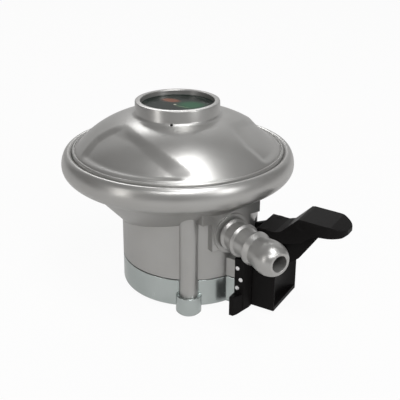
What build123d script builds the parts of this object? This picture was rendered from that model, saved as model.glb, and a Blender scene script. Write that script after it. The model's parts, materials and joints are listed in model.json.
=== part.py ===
from build123d import *
import os
from math import cos, sin, radians

# Clip-on low-pressure gas regulator with an on/off lever and a release button.
# Millimetres, +Z up. Origin: centre of the inlet socket's mouth, in the plane of
# the steel cup's floor. +X points along the release button and the lever.

os.makedirs("parts", exist_ok=True)

# ---- Driving dimensions -------------------------------------------------------
CLEAR = 0.3                # gap between pieces that move past each other
RUN = 0.05                 # radial running clearance of pins and plungers

# Inlet socket, skirt and steel cup
SOCKET_R = 11.1            # bore over a 22 mm cylinder valve
SOCKET_STOP = 10.4         # depth at which the valve's top stops
TUBE_WALL = 2.2
SKIRT_R = 23.3
SKIRT_WALL = 2.7
CUP_T = 1.0
CUP_CORNER = 0.8           # rolled corner at the foot of the cup
CUP_H = 9.4
SEAM = 0.35                # dark joint between the cup and the casting
MOUTH_R = SOCKET_R + 0.2
ARM_Y = 11.1               # half width of the side housing
ARM_X = 24.0               # where the side housing ends
TUNNEL_Y = 9.0
TUNNEL_TOP = 14.8
ARM_TOP = 16.2

# Dish of the diaphragm housing, on its own axis
DISH_X = -5.0
RIM_R = 39.2
RIM_Z = 42.8               # height of the widest point
RIM_TOP = 46.4
RIM_LIP = 35.6             # inner edge of the rolled rim
BEAD_FOOT_R, BEAD_FOOT_Z = 36.6, 37.8
BOWL_LOW_R, BOWL_LOW_Z = 32.0, 35.8
BOWL_ROOT_R, BOWL_ROOT_Z = 18.4, 21.0
SEAT_Z = 41.4              # clamping plane of the diaphragm
CHAMBER_R = 33.0
FLOOR_Z = 31.5
FLOOR_R = 24.0
FLANGE_R = 37.0
DIAPHRAGM_T = 1.0
FLANGE_T = 1.8
BONNET_TOP = 46.9          # top edge of the bonnet's side wall
GROOVE_R = 34.7            # foot of the dome
COLLAR_R = 14.2
COLLAR_BORE = 12.3
COLLAR_TOP = 62.8
COLLAR_FOOT_R, COLLAR_FOOT_Z = 15.1, 58.0
DOME_WALL = 2.2

# Posts and screws that hold the cup
POST_R = 3.0
POST_PCR = 22.9
POST_ANGLES = (-60, 60, 180)
EAR_WALL = 1.1
EAR_LOW = -1.8
EAR_BREAK = 0.6            # chamfer round the foot of an ear
EAR_FLOOR = 1.4
EAR_TOP = 4.6
CUP_SCREW_R = 1.25

# Outlet nozzle
NOZZLE_ANGLE = -27
NOZZLE_Z = 25.6
NOZZLE_BORE = 2.6
NOZZLE_BOSS_R = 6.6
NOZZLE_FACE = 25.4         # where the boss ends, from the socket axis
NOZZLE_TIP = 49.0
BARB_R = 5.45
BARB_NECK = 4.2
BARB_WAIST = 4.75          # just behind a crest, towards the tip
BARB_LAND = 0.6            # length of a crest
BARB_BACK = 0.4            # length of the steep side
BARBS = (26.2, 31.0, 37.2)
BULB_R = 5.4
BULB_AT = 44.6
TIP_R = 3.4
WEB_FACE = 24.8
WEB_UPPER_Y, WEB_LOWER_Y = 11.0, 7.2
WEB_STEP_Z = 30.4
POCKET_AT = 15.2           # outlet drilling from the chamber floor

# Valve pusher and its fork
CEILING_T = 1.2
SEAL_R = 9.2
SEAL_T = 2.2
PUSHER_R = 4.0
STEM_R = 3.45
PUSHER_BORE = 1.4
PUSHER_TIP = 10.7
PUSHER_TOP = 28.6
FLANGE_LOW, PUSHER_FLANGE_T, PUSHER_FLANGE_R = 18.0, 1.0, 6.2
FORK_LOW, FORK_T = 19.3, 1.5
FORK_PIN = (-15.5, 20.05)
FORK_PIN_R = 1.0
FORK_IN, FORK_OUT = 4.2, 6.2
FORK_END = 23.0
SLOT_Y = 6.7
SLOT_LOW, SLOT_TOP = 16.4, 22.2
FORK_DIP = 13.6            # floor of the slots under the fork's tips
INLET_TOP = 29.8

# Lever and its pin
PIVOT_X, PIVOT_Z = 31.2, 21.2
LEVER_PIN_R = 1.5
HUB_R = 5.7
CHEEK_IN, CHEEK_OUT = 4.1, 6.1
LUG_Y = CHEEK_IN - CLEAR
LUG_R = 3.0
LOBE_Y = 3.3

# Release button, its cover and the locking plate
BUTTON_TRAVEL = 2.5
BUTTON_Y, BUTTON_TOP = 8.7, 13.2
BUTTON_BACK, BUTTON_FACE = 25.0, 36.5
BUTTON_LOW = 0.2
COVER_IN, COVER_OUT = 26.8, 30.0
COVER_Y = 12.2
COVER_TOP = 17.5
BRIDGE_TOP = 15.2
FOOT_Y, FOOT_LOW, FOOT_TOP = 15.6, -1.5, 5.1
TONGUE_T, TONGUE_X = 1.0, 27.0
RIVETS = ((25.2, 14.3), (26.4, 10.4), (25.2, 7.2))
RIVET_R, RIVET_HEAD_R, RIVET_HEAD_T = 0.45, 0.7, 0.35
PLATE_LOW, PLATE_T = CUP_T + CLEAR, 2.0
PLATE_HOLE = SOCKET_R + 0.4
PLATE_RING = 3.9
TAIL_Y = 6.0
SPRING_Y, SPRING_Z = 6.2, 8.5
SPRING_LUG_X = 15.0

# Diaphragm, rocker and jet
STROKE = 2.0               # how far the diaphragm rises to close the jet
STEM_SHAFT_R = 2.5
EYE_R = 3.4
PLATE_R = 20.0
JET_X = 9.0
JET_TOP = 34.3
ROCKER_X, ROCKER_Z = 4.0, 36.9
ROCKER_PIN_R = 1.0
ROCKER_Y = 2.5
PAD_R, PAD_T = 2.6, 1.5
MAIN_COIL_R, MAIN_WIRE = 9.0, 1.4
ADJUSTER_LOW, ADJUSTER_T = 56.6, 3.0
ADJUSTER_R = COLLAR_BORE - 0.5
CAP_LOW, CAP_T = 60.2, 1.0

# ---- Planes and derived places ------------------------------------------------
DISH = Plane(origin=(DISH_X, 0, 0), x_dir=(1, 0, 0), z_dir=(0, -1, 0))
DISH_AXIS = Axis((DISH_X, 0, 0), (0, 0, 1))
NOZZLE_DIR = (cos(radians(NOZZLE_ANGLE)), sin(radians(NOZZLE_ANGLE)), 0)
NOZZLE = Plane(
    origin=(0, 0, NOZZLE_Z), x_dir=NOZZLE_DIR, z_dir=(NOZZLE_DIR[1], -NOZZLE_DIR[0], 0)
)
NOZZLE_AXIS = Axis((0, 0, NOZZLE_Z), NOZZLE_DIR)
WEB_PLAN = Plane(NOZZLE.origin, x_dir=NOZZLE_DIR, z_dir=(0, 0, 1))
DRILLING = Plane(NOZZLE.origin, x_dir=(0, 0, 1), z_dir=NOZZLE_DIR)
CAST_LOW = CUP_T                       # the casting stands on the cup's floor
CAST_SPLIT = CUP_H + SEAM              # full outline above, inside the cup below
TUBE_LOW = PLATE_LOW + PLATE_T + CLEAR
CEILING_Z = SOCKET_STOP + SEAL_T + 0.3
GUIDE_Z = CEILING_Z + CEILING_T
TUBE_R = SOCKET_R + TUBE_WALL
SKIRT_IN = SKIRT_R - SKIRT_WALL
FLANGE_Z = SEAT_Z + DIAPHRAGM_T        # underside of the bonnet's flange
FLANGE_TOP = FLANGE_Z + FLANGE_T
JET_SEAT = FLOOR_Z


def coil(radius, wire, low, high, turns, centre=(0, 0)):
    """A round-wire spring along Z, with its wire's edges at low and high."""
    height = high - low - wire
    with BuildPart() as spring:
        with BuildLine() as path:
            Helix(
                pitch=height / turns,
                height=height,
                radius=radius,
                center=(centre[0], centre[1], low + wire / 2),
            )
        with BuildSketch(Plane(origin=path.line @ 0, z_dir=path.line % 0)):
            Circle(wire / 2)
        sweep(is_frenet=True)
    return spring.part


def side_coil(radius, wire, low, high, turns, y, z):
    """A round-wire spring along X, with its wire's edges at low and high."""
    length = high - low - wire
    with BuildPart() as spring:
        with BuildLine() as path:
            Helix(
                pitch=length / turns,
                height=length,
                radius=radius,
                center=(low + wire / 2, y, z),
                direction=(1, 0, 0),
            )
        with BuildSketch(Plane(origin=path.line @ 0, z_dir=path.line % 0)):
            Circle(wire / 2)
        sweep(is_frenet=True)
    return spring.part


def save(part, name):
    part.label = name
    export_step(part, f"parts/{name}.step")


# ---- Body casting -------------------------------------------------------------
with BuildPart() as body_casting:
    # Bowl of the diaphragm housing with its rolled rim
    with BuildSketch(DISH):
        with BuildLine():
            bead_foot = (BEAD_FOOT_R, BEAD_FOOT_Z)
            rim_widest = (RIM_R, RIM_Z)
            rim_crest = (RIM_LIP + 1.5, RIM_TOP)
            lip_edge = (RIM_LIP, FLANGE_TOP + 1.2)
            Polyline(
                (0, BOWL_ROOT_Z), (BOWL_ROOT_R, BOWL_ROOT_Z), (BOWL_LOW_R, BOWL_LOW_Z), bead_foot
            )
            Spline(bead_foot, rim_widest, rim_crest, lip_edge, tangents=((1, 0.65), (-0.6, -1)))
            Polyline(
                lip_edge,
                (RIM_LIP, FLANGE_TOP),
                (FLANGE_R, FLANGE_TOP),
                (FLANGE_R, SEAT_Z),
                (0, SEAT_Z),
                (0, BOWL_ROOT_Z),
            )
        make_face()
    revolve(axis=DISH_AXIS)

    # Skirt and side housing above the steel cup
    with BuildSketch(Plane.XY.offset(CAST_SPLIT)):
        Circle(SKIRT_R)
    extrude(amount=FLOOR_Z - 0.1 - CAST_SPLIT)
    with BuildSketch(Plane.XY.offset(CAST_SPLIT)):
        with Locations((ARM_X / 2, 0)):
            Rectangle(ARM_X, 2 * ARM_Y)
    extrude(amount=ARM_TOP - CAST_SPLIT)
    # The part that the cup wraps
    with BuildSketch(Plane.XY.offset(CAST_LOW)):
        Circle(SKIRT_R - CUP_T - RUN)
        with Locations((ARM_X / 2, 0)):
            Rectangle(ARM_X, 2 * (ARM_Y - CUP_T - RUN))
    extrude(amount=CAST_SPLIT - CAST_LOW)

    # Webs and boss that carry the nozzle
    with BuildSketch(WEB_PLAN.offset(WEB_STEP_Z - NOZZLE_Z)):
        with Locations((WEB_FACE / 2, 0)):
            Rectangle(WEB_FACE, 2 * WEB_UPPER_Y)
    extrude(amount=BOWL_LOW_Z + 2.4 - WEB_STEP_Z)
    with BuildSketch(WEB_PLAN.offset(-5.0)):
        with Locations((WEB_FACE / 2, 0)):
            Rectangle(WEB_FACE, 2 * WEB_LOWER_Y)
    extrude(amount=WEB_STEP_Z - NOZZLE_Z + 5.0)
    # Barbed nozzle
    with BuildSketch(NOZZLE):
        with BuildLine():
            Polyline(
                (POCKET_AT, 0), (POCKET_AT, NOZZLE_BOSS_R),
                (NOZZLE_FACE, NOZZLE_BOSS_R), (NOZZLE_FACE, BARB_NECK),
            )
            bulb_start = (BARBS[2] + 2.4, BARB_NECK + 0.6)
            Polyline(
                (NOZZLE_FACE, BARB_NECK),
                (BARBS[0], BARB_R), (BARBS[0] + BARB_LAND, BARB_R), (BARBS[0] + 2 * BARB_LAND, BARB_WAIST),
                (BARBS[1] - BARB_BACK, BARB_NECK),
                (BARBS[1], BARB_R), (BARBS[1] + BARB_LAND, BARB_R), (BARBS[1] + 2 * BARB_LAND, BARB_WAIST),
                (BARBS[2] - BARB_BACK, BARB_NECK),
                (BARBS[2], BARB_R), (BARBS[2] + BARB_LAND, BARB_R), bulb_start,
            )
            Spline(
                bulb_start,
                (BULB_AT, BULB_R),
                (NOZZLE_TIP, TIP_R),
                tangents=((1, 0.1), (0.7, -1)),
            )
            Polyline((NOZZLE_TIP, TIP_R), (NOZZLE_TIP, 0), (POCKET_AT, 0))
        make_face()
    revolve(axis=NOZZLE_AXIS)

    # Half-round posts down the skirt
    for angle in POST_ANGLES:
        post_x = POST_PCR * cos(radians(angle))
        post_y = POST_PCR * sin(radians(angle))
        with BuildSketch(Plane.XY.offset(EAR_LOW + EAR_FLOOR)):
            with Locations((post_x, post_y)):
                Circle(POST_R)
        extrude(amount=BOWL_LOW_Z - 1.0 - EAR_LOW - EAR_FLOOR)
        with BuildSketch(Plane.XY.offset(EAR_LOW + EAR_FLOOR)):
            with Locations((post_x, post_y)):
                Circle(CUP_SCREW_R)
        extrude(amount=9.0, mode=Mode.SUBTRACT)

    # Gas chamber under the diaphragm
    with BuildSketch(DISH):
        with BuildLine():
            Polyline(
                (0, FLOOR_Z), (FLOOR_R, FLOOR_Z), (CHAMBER_R - 3.0, FLOOR_Z + 6.1),
                (CHAMBER_R - 0.4, FLOOR_Z + 9.0), (CHAMBER_R, SEAT_Z), (0, SEAT_Z), (0, FLOOR_Z),
            )
        make_face()
    revolve(axis=DISH_AXIS, mode=Mode.SUBTRACT)
    # Dry cavity round the socket tube, and the tunnel of the button
    with BuildSketch(Plane.XY.offset(CAST_LOW)):
        Circle(SKIRT_IN)
        Circle(TUBE_R, mode=Mode.SUBTRACT)
    extrude(amount=ARM_TOP - 0.2 - CAST_LOW, mode=Mode.SUBTRACT)
    with BuildSketch(Plane.XY.offset(CAST_LOW)):
        with Locations(((TUBE_R + ARM_X) / 2 + 1, 0)):
            Rectangle(ARM_X - TUBE_R + 2, 2 * TUNNEL_Y)
        Circle(TUBE_R, mode=Mode.SUBTRACT)
    extrude(amount=TUNNEL_TOP - CAST_LOW, mode=Mode.SUBTRACT)
    with BuildSketch(Plane.XY.offset(CAST_LOW)):
        Circle(TUBE_R)
    extrude(amount=TUBE_LOW - CAST_LOW, mode=Mode.SUBTRACT)
    # Socket bore, seal recess and pusher guide
    with BuildSketch(Plane.XY.offset(TUBE_LOW)):
        Circle(SOCKET_R)
    extrude(amount=SOCKET_STOP - TUBE_LOW, mode=Mode.SUBTRACT)
    with BuildSketch(Plane.XY.offset(SOCKET_STOP)):
        Circle(SEAL_R)
    extrude(amount=CEILING_Z - SOCKET_STOP, mode=Mode.SUBTRACT)
    with BuildSketch(Plane.XY.offset(CEILING_Z)):
        Circle(PUSHER_R + RUN)
    extrude(amount=CEILING_T, mode=Mode.SUBTRACT)
    # Room for the pusher's flange and spring, for the fork and for the lever's noses
    with BuildSketch(Plane.XY.offset(GUIDE_Z)):
        Circle(PUSHER_FLANGE_R + 1.0)
    extrude(amount=SLOT_TOP - GUIDE_Z, mode=Mode.SUBTRACT)
    with BuildSketch(Plane.XY.offset(SLOT_LOW)):
        with Locations(((FORK_PIN[0] - 3) / 2, 0)):
            Rectangle(3 - FORK_PIN[0], 2 * SLOT_Y)
    extrude(amount=SLOT_TOP - SLOT_LOW, mode=Mode.SUBTRACT)
    for side in (-1, 1):
        rail_y = (LUG_Y + 0.1 + SLOT_Y) / 2
        with BuildSketch(Plane.XY.offset(SLOT_LOW)):
            with Locations((15, side * rail_y)):
                Rectangle(34, SLOT_Y - LUG_Y - 0.1)
        extrude(amount=SLOT_TOP - SLOT_LOW, mode=Mode.SUBTRACT)
        # The slots' floor falls towards the lever, as the fork does
        with BuildSketch(Plane.XZ.offset(-side * rail_y)):
            with BuildLine():
                Polyline(
                    (2, SLOT_TOP), (2, SLOT_LOW), (FORK_END - 2, FORK_DIP),
                    (FORK_END + 10, FORK_DIP), (FORK_END + 10, SLOT_TOP), close=True,
                )
            make_face()
        extrude(amount=(SLOT_Y - LUG_Y - 0.1) / 2, both=True, mode=Mode.SUBTRACT)
        with BuildSketch(Plane.XY.offset(SLOT_TOP - 1)):
            with Locations((25.5, side * rail_y)):
                Rectangle(9.0, SLOT_Y - LUG_Y - 0.1)
        extrude(amount=3.4, mode=Mode.SUBTRACT)
    # Upper guide, inlet chamber, jet hole and the drilling between them
    with BuildSketch(Plane.XY.offset(SLOT_TOP - 1)):
        Circle(STEM_R + RUN)
    extrude(amount=INLET_TOP - SLOT_TOP + 1, mode=Mode.SUBTRACT)
    with BuildSketch(Plane.XY.offset(JET_SEAT - 2.9)):
        with Locations((JET_X, 0)):
            Circle(3.0)
    extrude(amount=4, mode=Mode.SUBTRACT)
    with BuildSketch(Plane.YZ):
        with Locations((0, INLET_TOP - 0.75)):
            Circle(0.7)
    extrude(amount=JET_X, mode=Mode.SUBTRACT)
    # Outlet drilling: along the nozzle and up through the chamber floor
    with BuildSketch(DRILLING.offset(POCKET_AT - NOZZLE_BORE)):
        Circle(NOZZLE_BORE)
    extrude(amount=NOZZLE_TIP - POCKET_AT + NOZZLE_BORE + 1, mode=Mode.SUBTRACT)
    with BuildSketch(Plane.XY.offset(NOZZLE_Z)):
        with Locations((POCKET_AT * NOZZLE_DIR[0], POCKET_AT * NOZZLE_DIR[1])):
            Circle(NOZZLE_BORE)
    extrude(amount=FLOOR_Z - NOZZLE_Z + 1, mode=Mode.SUBTRACT)
    # Ears for the rocker pin in the chamber
    for side in (-1, 1):
        with BuildSketch(Plane.XZ.offset(-side * (ROCKER_Y + CLEAR + 0.9))):
            with Locations((ROCKER_X, (FLOOR_Z - 0.5 + ROCKER_Z) / 2)):
                Rectangle(4.4, ROCKER_Z - FLOOR_Z + 0.5)
            with Locations((ROCKER_X, ROCKER_Z)):
                Circle(2.2)
        extrude(amount=0.9, both=True)
    # Lug for the lever's pin, between the hub's cheeks
    with BuildSketch(Plane.XZ):
        with BuildLine():
            Polyline(
                (SKIRT_R - 3.5, BRIDGE_TOP + 0.6),
                (PIVOT_X, PIVOT_Z - LUG_R),
                (PIVOT_X - 1.2, PIVOT_Z + 2.7),
                (PIVOT_X - 5.6, SLOT_TOP - 1.2),
                (SKIRT_R - 3.5, SLOT_TOP - 2.2),
                close=True,
            )
        make_face()
        with Locations((PIVOT_X, PIVOT_Z)):
            Circle(LUG_R)
    extrude(amount=LUG_Y, both=True)
    # Pin holes
    with BuildSketch(Plane.XZ):
        with Locations((PIVOT_X, PIVOT_Z)):
            Circle(LEVER_PIN_R)
        with Locations((ROCKER_X, ROCKER_Z)):
            Circle(ROCKER_PIN_R)
    extrude(amount=LUG_Y + 2, both=True, mode=Mode.SUBTRACT)
    with BuildSketch(Plane.XZ):
        with Locations(FORK_PIN):
            Circle(FORK_PIN_R)
    extrude(amount=SLOT_Y + 2, both=True, mode=Mode.SUBTRACT)
    # Lugs that the button springs push against, with their spigots
    for side in (-1, 1):
        with BuildSketch(Plane.YZ.offset(TUBE_R - 3)):
            with Locations((side * SPRING_Y, SPRING_Z)):
                Rectangle(5.0, 7.0)
        extrude(amount=SPRING_LUG_X - TUBE_R + 3)
        with BuildSketch(Plane.YZ.offset(SPRING_LUG_X)):
            with Locations((side * SPRING_Y, SPRING_Z)):
                Circle(1.4)
        extrude(amount=2.0)
    # Tongues that the cover is riveted to
    for side in (-1, 1):
        with BuildSketch(Plane.XY.offset(CAST_LOW + 0.5)):
            with Locations(((ARM_X - 1 + TONGUE_X) / 2, side * (TUNNEL_Y + TONGUE_T / 2))):
                Rectangle(TONGUE_X - ARM_X + 1, TONGUE_T)
        extrude(amount=TUNNEL_TOP - CAST_LOW - 0.5)
    for rivet_x, rivet_z in RIVETS:
        with BuildSketch(Plane.XZ):
            with Locations((rivet_x, rivet_z)):
                Circle(RIVET_R)
        extrude(amount=COVER_Y, both=True, mode=Mode.SUBTRACT)
save(body_casting.part, "body_casting")

# ---- Steel cup round the foot of the skirt ------------------------------------
with BuildPart() as bottom_cup:
    with BuildSketch(Plane.XY):
        Circle(SKIRT_R)
        with Locations((ARM_X / 2, 0)):
            Rectangle(ARM_X, 2 * ARM_Y)
    extrude(amount=CUP_H)
    fillet(bottom_cup.edges().group_by(Axis.Z)[0], radius=CUP_CORNER)
    for angle in POST_ANGLES:
        with BuildSketch(Plane.XY.offset(EAR_LOW)):
            with Locations((POST_PCR * cos(radians(angle)), POST_PCR * sin(radians(angle)))):
                Circle(POST_R + RUN + EAR_WALL)
        extrude(amount=EAR_TOP - EAR_LOW)
    chamfer(bottom_cup.edges().group_by(Axis.Z)[0], length=EAR_BREAK)
    with BuildSketch(Plane.XY.offset(CUP_T)):
        Circle(SKIRT_R - CUP_T)
        with Locations((ARM_X / 2 + 1, 0)):
            Rectangle(ARM_X + 2, 2 * (ARM_Y - CUP_T))
    extrude(amount=CUP_H, mode=Mode.SUBTRACT)
    with BuildSketch(Plane.XY):
        Circle(MOUTH_R)
    extrude(amount=CUP_T, mode=Mode.SUBTRACT)
    for angle in POST_ANGLES:
        with BuildSketch(Plane.XY.offset(EAR_LOW + EAR_FLOOR)):
            with Locations((POST_PCR * cos(radians(angle)), POST_PCR * sin(radians(angle)))):
                Circle(POST_R + RUN)
        extrude(amount=CUP_H + 5, mode=Mode.SUBTRACT)
        with Locations((POST_PCR * cos(radians(angle)), POST_PCR * sin(radians(angle)), EAR_LOW)):
            Cone(
                2 * CUP_SCREW_R, CUP_SCREW_R, EAR_FLOOR,
                align=(Align.CENTER, Align.CENTER, Align.MIN), mode=Mode.SUBTRACT,
            )
save(bottom_cup.part, "bottom_cup")

with BuildPart() as cup_screws:
    for angle in POST_ANGLES:
        with Locations((POST_PCR * cos(radians(angle)), POST_PCR * sin(radians(angle)), EAR_LOW)):
            Cone(
                2 * CUP_SCREW_R, CUP_SCREW_R, EAR_FLOOR,
                align=(Align.CENTER, Align.CENTER, Align.MIN),
            )
        with Locations((POST_PCR * cos(radians(angle)), POST_PCR * sin(radians(angle)), EAR_LOW + EAR_FLOOR)):
            Cylinder(CUP_SCREW_R, 8.5, align=(Align.CENTER, Align.CENTER, Align.MIN))
        with Locations((POST_PCR * cos(radians(angle)), POST_PCR * sin(radians(angle)), EAR_LOW)):
            Box(3.0, 0.5, 0.5, align=(Align.CENTER, Align.CENTER, Align.MIN), mode=Mode.SUBTRACT)
save(cup_screws.part, "cup_screws")

# ---- Bonnet -------------------------------------------------------------------
with BuildPart() as bonnet:
    with BuildSketch(DISH):
        with BuildLine():
            foot = (COLLAR_FOOT_R, COLLAR_FOOT_Z)
            edge = (GROOVE_R - 0.3, BONNET_TOP - 0.1)
            Polyline(
                foot, (COLLAR_R, COLLAR_FOOT_Z + 0.6), (COLLAR_R, COLLAR_TOP), (COLLAR_BORE, COLLAR_TOP),
                (COLLAR_BORE, CAP_LOW), (ADJUSTER_R, CAP_LOW), (ADJUSTER_R, COLLAR_FOOT_Z - 2.4),
            )
            ThreePointArc(
                (ADJUSTER_R, COLLAR_FOOT_Z - 2.4),
                (25.2, 53.6 - DOME_WALL),
                (CHAMBER_R - 0.6, FLANGE_Z + 1.6),
            )
            Polyline(
                (CHAMBER_R - 0.6, FLANGE_Z + 1.6), (CHAMBER_R, FLANGE_Z), (FLANGE_R, FLANGE_Z),
                (FLANGE_R, FLANGE_TOP), (RIM_LIP, FLANGE_TOP), (RIM_LIP, FLANGE_TOP + 1.3),
                (RIM_LIP - 0.1, BONNET_TOP - 0.3), (RIM_LIP - 0.4, BONNET_TOP), (GROOVE_R + 0.2, BONNET_TOP),
                (GROOVE_R, BONNET_TOP - 0.6), edge,
            )
            ThreePointArc(edge, (25.8, 54.0), foot)
        make_face()
    revolve(axis=DISH_AXIS)
    # Vent to the air through the foot of the collar
    vent_angle = radians(-66.5)
    vent_dir = (cos(vent_angle), sin(vent_angle), 1.0)
    vent_at = (DISH_X + (COLLAR_R + 0.2) * cos(vent_angle), (COLLAR_R + 0.2) * sin(vent_angle), COLLAR_FOOT_Z + 0.3)
    with BuildSketch(Plane(origin=vent_at, z_dir=vent_dir)):
        Circle(0.45)
    extrude(amount=6.0, both=True, mode=Mode.SUBTRACT)
save(bonnet.part, "bonnet")

# Plain disc that closes the collar, with a shallow printed-badge recess
with BuildPart() as collar_cap:
    with BuildSketch(Plane.XY.offset(CAP_LOW)):
        with Locations((DISH_X, 0)):
            Circle(COLLAR_BORE)
    extrude(amount=CAP_T)
save(collar_cap.part, "collar_cap")

with BuildPart() as adjusting_screw:
    with BuildSketch(Plane.XY.offset(ADJUSTER_LOW)):
        with Locations((DISH_X, 0)):
            Circle(ADJUSTER_R)
            RegularPolygon(3.2, 6, mode=Mode.SUBTRACT)
    extrude(amount=ADJUSTER_T)
    with BuildSketch(Plane.XY.offset(ADJUSTER_LOW)):
        with Locations((DISH_X, 0)):
            Circle(MAIN_COIL_R + MAIN_WIRE / 2 + 0.3)
            Circle(MAIN_COIL_R - MAIN_WIRE / 2 - 0.3, mode=Mode.SUBTRACT)
    extrude(amount=0.8, mode=Mode.SUBTRACT)
save(adjusting_screw.part, "adjusting_screw")

# ---- Diaphragm group ----------------------------------------------------------
with BuildPart() as diaphragm:
    with BuildSketch(DISH):
        with BuildLine():
            inner, outer_r = STEM_SHAFT_R + RUN, FLANGE_R
            fold_in, fold_out = PLATE_R + 2.0, CHAMBER_R - 1.5
            fold_mid = (fold_in + fold_out) / 2
            low, high = SEAT_Z, SEAT_Z + DIAPHRAGM_T
            Polyline((fold_in, low), (inner, low), (inner, high), (fold_in, high))
            ThreePointArc((fold_in, high), (fold_mid, high - 2.4), (fold_out, high))
            Polyline((fold_out, high), (outer_r, high), (outer_r, low), (fold_out, low))
            ThreePointArc((fold_out, low), (fold_mid, low - 2.4), (fold_in, low))
        make_face()
    revolve(axis=DISH_AXIS)
save(diaphragm.part, "diaphragm")

PLATE_Z = SEAT_Z + DIAPHRAGM_T
PLATE_SHEET = 1.0
with BuildPart() as diaphragm_plate:
    with BuildSketch(DISH):
        with BuildLine():
            Polyline(
                (STEM_SHAFT_R + RUN, PLATE_Z), (PLATE_R, PLATE_Z), (PLATE_R, PLATE_Z + 2.2),
                (PLATE_R - PLATE_SHEET, PLATE_Z + 2.2), (PLATE_R - PLATE_SHEET, PLATE_Z + PLATE_SHEET),
                (STEM_SHAFT_R + RUN, PLATE_Z + PLATE_SHEET), close=True,
            )
        make_face()
    revolve(axis=DISH_AXIS)
save(diaphragm_plate.part, "diaphragm_plate")

NUT_LOW, NUT_T = PLATE_Z + 6.4, 2.4
with BuildPart() as diaphragm_stem:
    with BuildSketch(DISH):
        with BuildLine():
            Polyline(
                (0, ROCKER_Z - 2.6), (EYE_R, ROCKER_Z - 2.6), (EYE_R, SEAT_Z - 1.2), (6.0, SEAT_Z - 1.2),
                (6.0, SEAT_Z), (STEM_SHAFT_R, SEAT_Z), (STEM_SHAFT_R, NUT_LOW + NUT_T + 0.6),
                (0, NUT_LOW + NUT_T + 0.6), close=True,
            )
        make_face()
    revolve(axis=DISH_AXIS)
    # Eye that the rocker's tip reaches through
    with Locations((DISH_X, 0, ROCKER_Z + 0.8)):
        Box(2 * EYE_R + 2, 3.4, 3.4, mode=Mode.SUBTRACT)
save(diaphragm_stem.part, "diaphragm_stem")

with BuildPart() as relief_nut:
    with BuildSketch(Plane.XY.offset(NUT_LOW)):
        with Locations((DISH_X, 0)):
            RegularPolygon(4.4, 6)
            Circle(STEM_SHAFT_R, mode=Mode.SUBTRACT)
    extrude(amount=NUT_T)
save(relief_nut.part, "relief_nut")

save(coil(3.6, 0.6, PLATE_Z + PLATE_SHEET, NUT_LOW, 4, (DISH_X, 0)), "relief_spring")
save(
    coil(MAIN_COIL_R, MAIN_WIRE, PLATE_Z + PLATE_SHEET, ADJUSTER_LOW + 0.8, 4, (DISH_X, 0)),
    "main_spring",
)

# ---- Rocker, pad and jet ------------------------------------------------------
PAD_GAP = 0.35
ROCKER_DROP = STROKE * (JET_X - ROCKER_X) / (ROCKER_X - DISH_X)
PAD_LOW = JET_TOP + ROCKER_DROP + PAD_GAP
with BuildPart() as rocker_lever:
    with BuildSketch(Plane.XZ):
        with Locations((ROCKER_X, ROCKER_Z)):
            Circle(2.0)
        with BuildLine():
            Polyline(
                (ROCKER_X, ROCKER_Z + 0.2), (DISH_X + EYE_R + 1.2, ROCKER_Z + 0.2),
                (DISH_X + EYE_R + 1.2, ROCKER_Z + 1.4), (ROCKER_X, ROCKER_Z + 1.6),
                (JET_X + PAD_R, PAD_LOW + PAD_T + 1.2), (JET_X + PAD_R, PAD_LOW + PAD_T),
                (ROCKER_X + 1.8, PAD_LOW + PAD_T), close=True,
            )
        make_face()
    extrude(amount=ROCKER_Y, both=True)
    with BuildSketch(Plane.XZ):
        with Locations(((DISH_X - 1.6 + DISH_X + EYE_R + 1.4) / 2, ROCKER_Z + 0.8)):
            Rectangle(EYE_R + 3.0, 1.2)
    extrude(amount=1.4, both=True)
    with BuildSketch(Plane.XZ):
        with Locations((ROCKER_X, ROCKER_Z)):
            Circle(ROCKER_PIN_R + RUN)
    extrude(amount=ROCKER_Y, both=True, mode=Mode.SUBTRACT)
save(rocker_lever.part, "rocker_lever")

with BuildPart() as rocker_pin:
    with BuildSketch(Plane.XZ):
        with Locations((ROCKER_X, ROCKER_Z)):
            Circle(ROCKER_PIN_R)
    extrude(amount=ROCKER_Y + CLEAR + 1.8, both=True)
save(rocker_pin.part, "rocker_pin")

with BuildPart() as valve_pad:
    with BuildSketch(Plane.XY.offset(PAD_LOW)):
        with Locations((JET_X, 0)):
            Circle(PAD_R)
    extrude(amount=PAD_T)
save(valve_pad.part, "valve_pad")

with BuildPart() as inlet_jet:
    with BuildSketch(Plane(origin=(JET_X, 0, 0), x_dir=(1, 0, 0), z_dir=(0, -1, 0))):
        with BuildLine():
            Polyline(
                (0.8, JET_SEAT - 2.4), (2.95, JET_SEAT - 2.4), (2.95, JET_SEAT), (3.8, JET_SEAT),
                (3.8, JET_SEAT + 1.1), (1.8, JET_SEAT + 1.1), (1.5, JET_TOP - 0.4), (1.2, JET_TOP), (0.8, JET_TOP), close=True,
            )
        make_face()
    revolve(axis=Axis((JET_X, 0, 0), (0, 0, 1)))
save(inlet_jet.part, "inlet_jet")

# ---- Valve pusher, its seal, ring, spring and fork -----------------------------
RING_LOW, RING_WIRE = PUSHER_TOP - 2.0, 0.52
with BuildPart() as valve_pusher:
    with BuildSketch(Plane.XZ):
        with BuildLine():
            Polyline(
                (PUSHER_BORE, PUSHER_TIP), (PUSHER_R - 0.6, PUSHER_TIP), (PUSHER_R, PUSHER_TIP + 0.6),
                (PUSHER_R, FLANGE_LOW), (PUSHER_FLANGE_R, FLANGE_LOW),
                (PUSHER_FLANGE_R, FLANGE_LOW + PUSHER_FLANGE_T), (STEM_R, FLANGE_LOW + PUSHER_FLANGE_T),
                (STEM_R, RING_LOW), (STEM_R - 1.1, RING_LOW), (STEM_R - 1.1, RING_LOW + 2.4 * RING_WIRE),
                (STEM_R, RING_LOW + 2.4 * RING_WIRE), (STEM_R, PUSHER_TOP), (PUSHER_BORE, PUSHER_TOP),
                close=True,
            )
        make_face()
    revolve(axis=Axis.Z)
save(valve_pusher.part, "valve_pusher")

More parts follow.
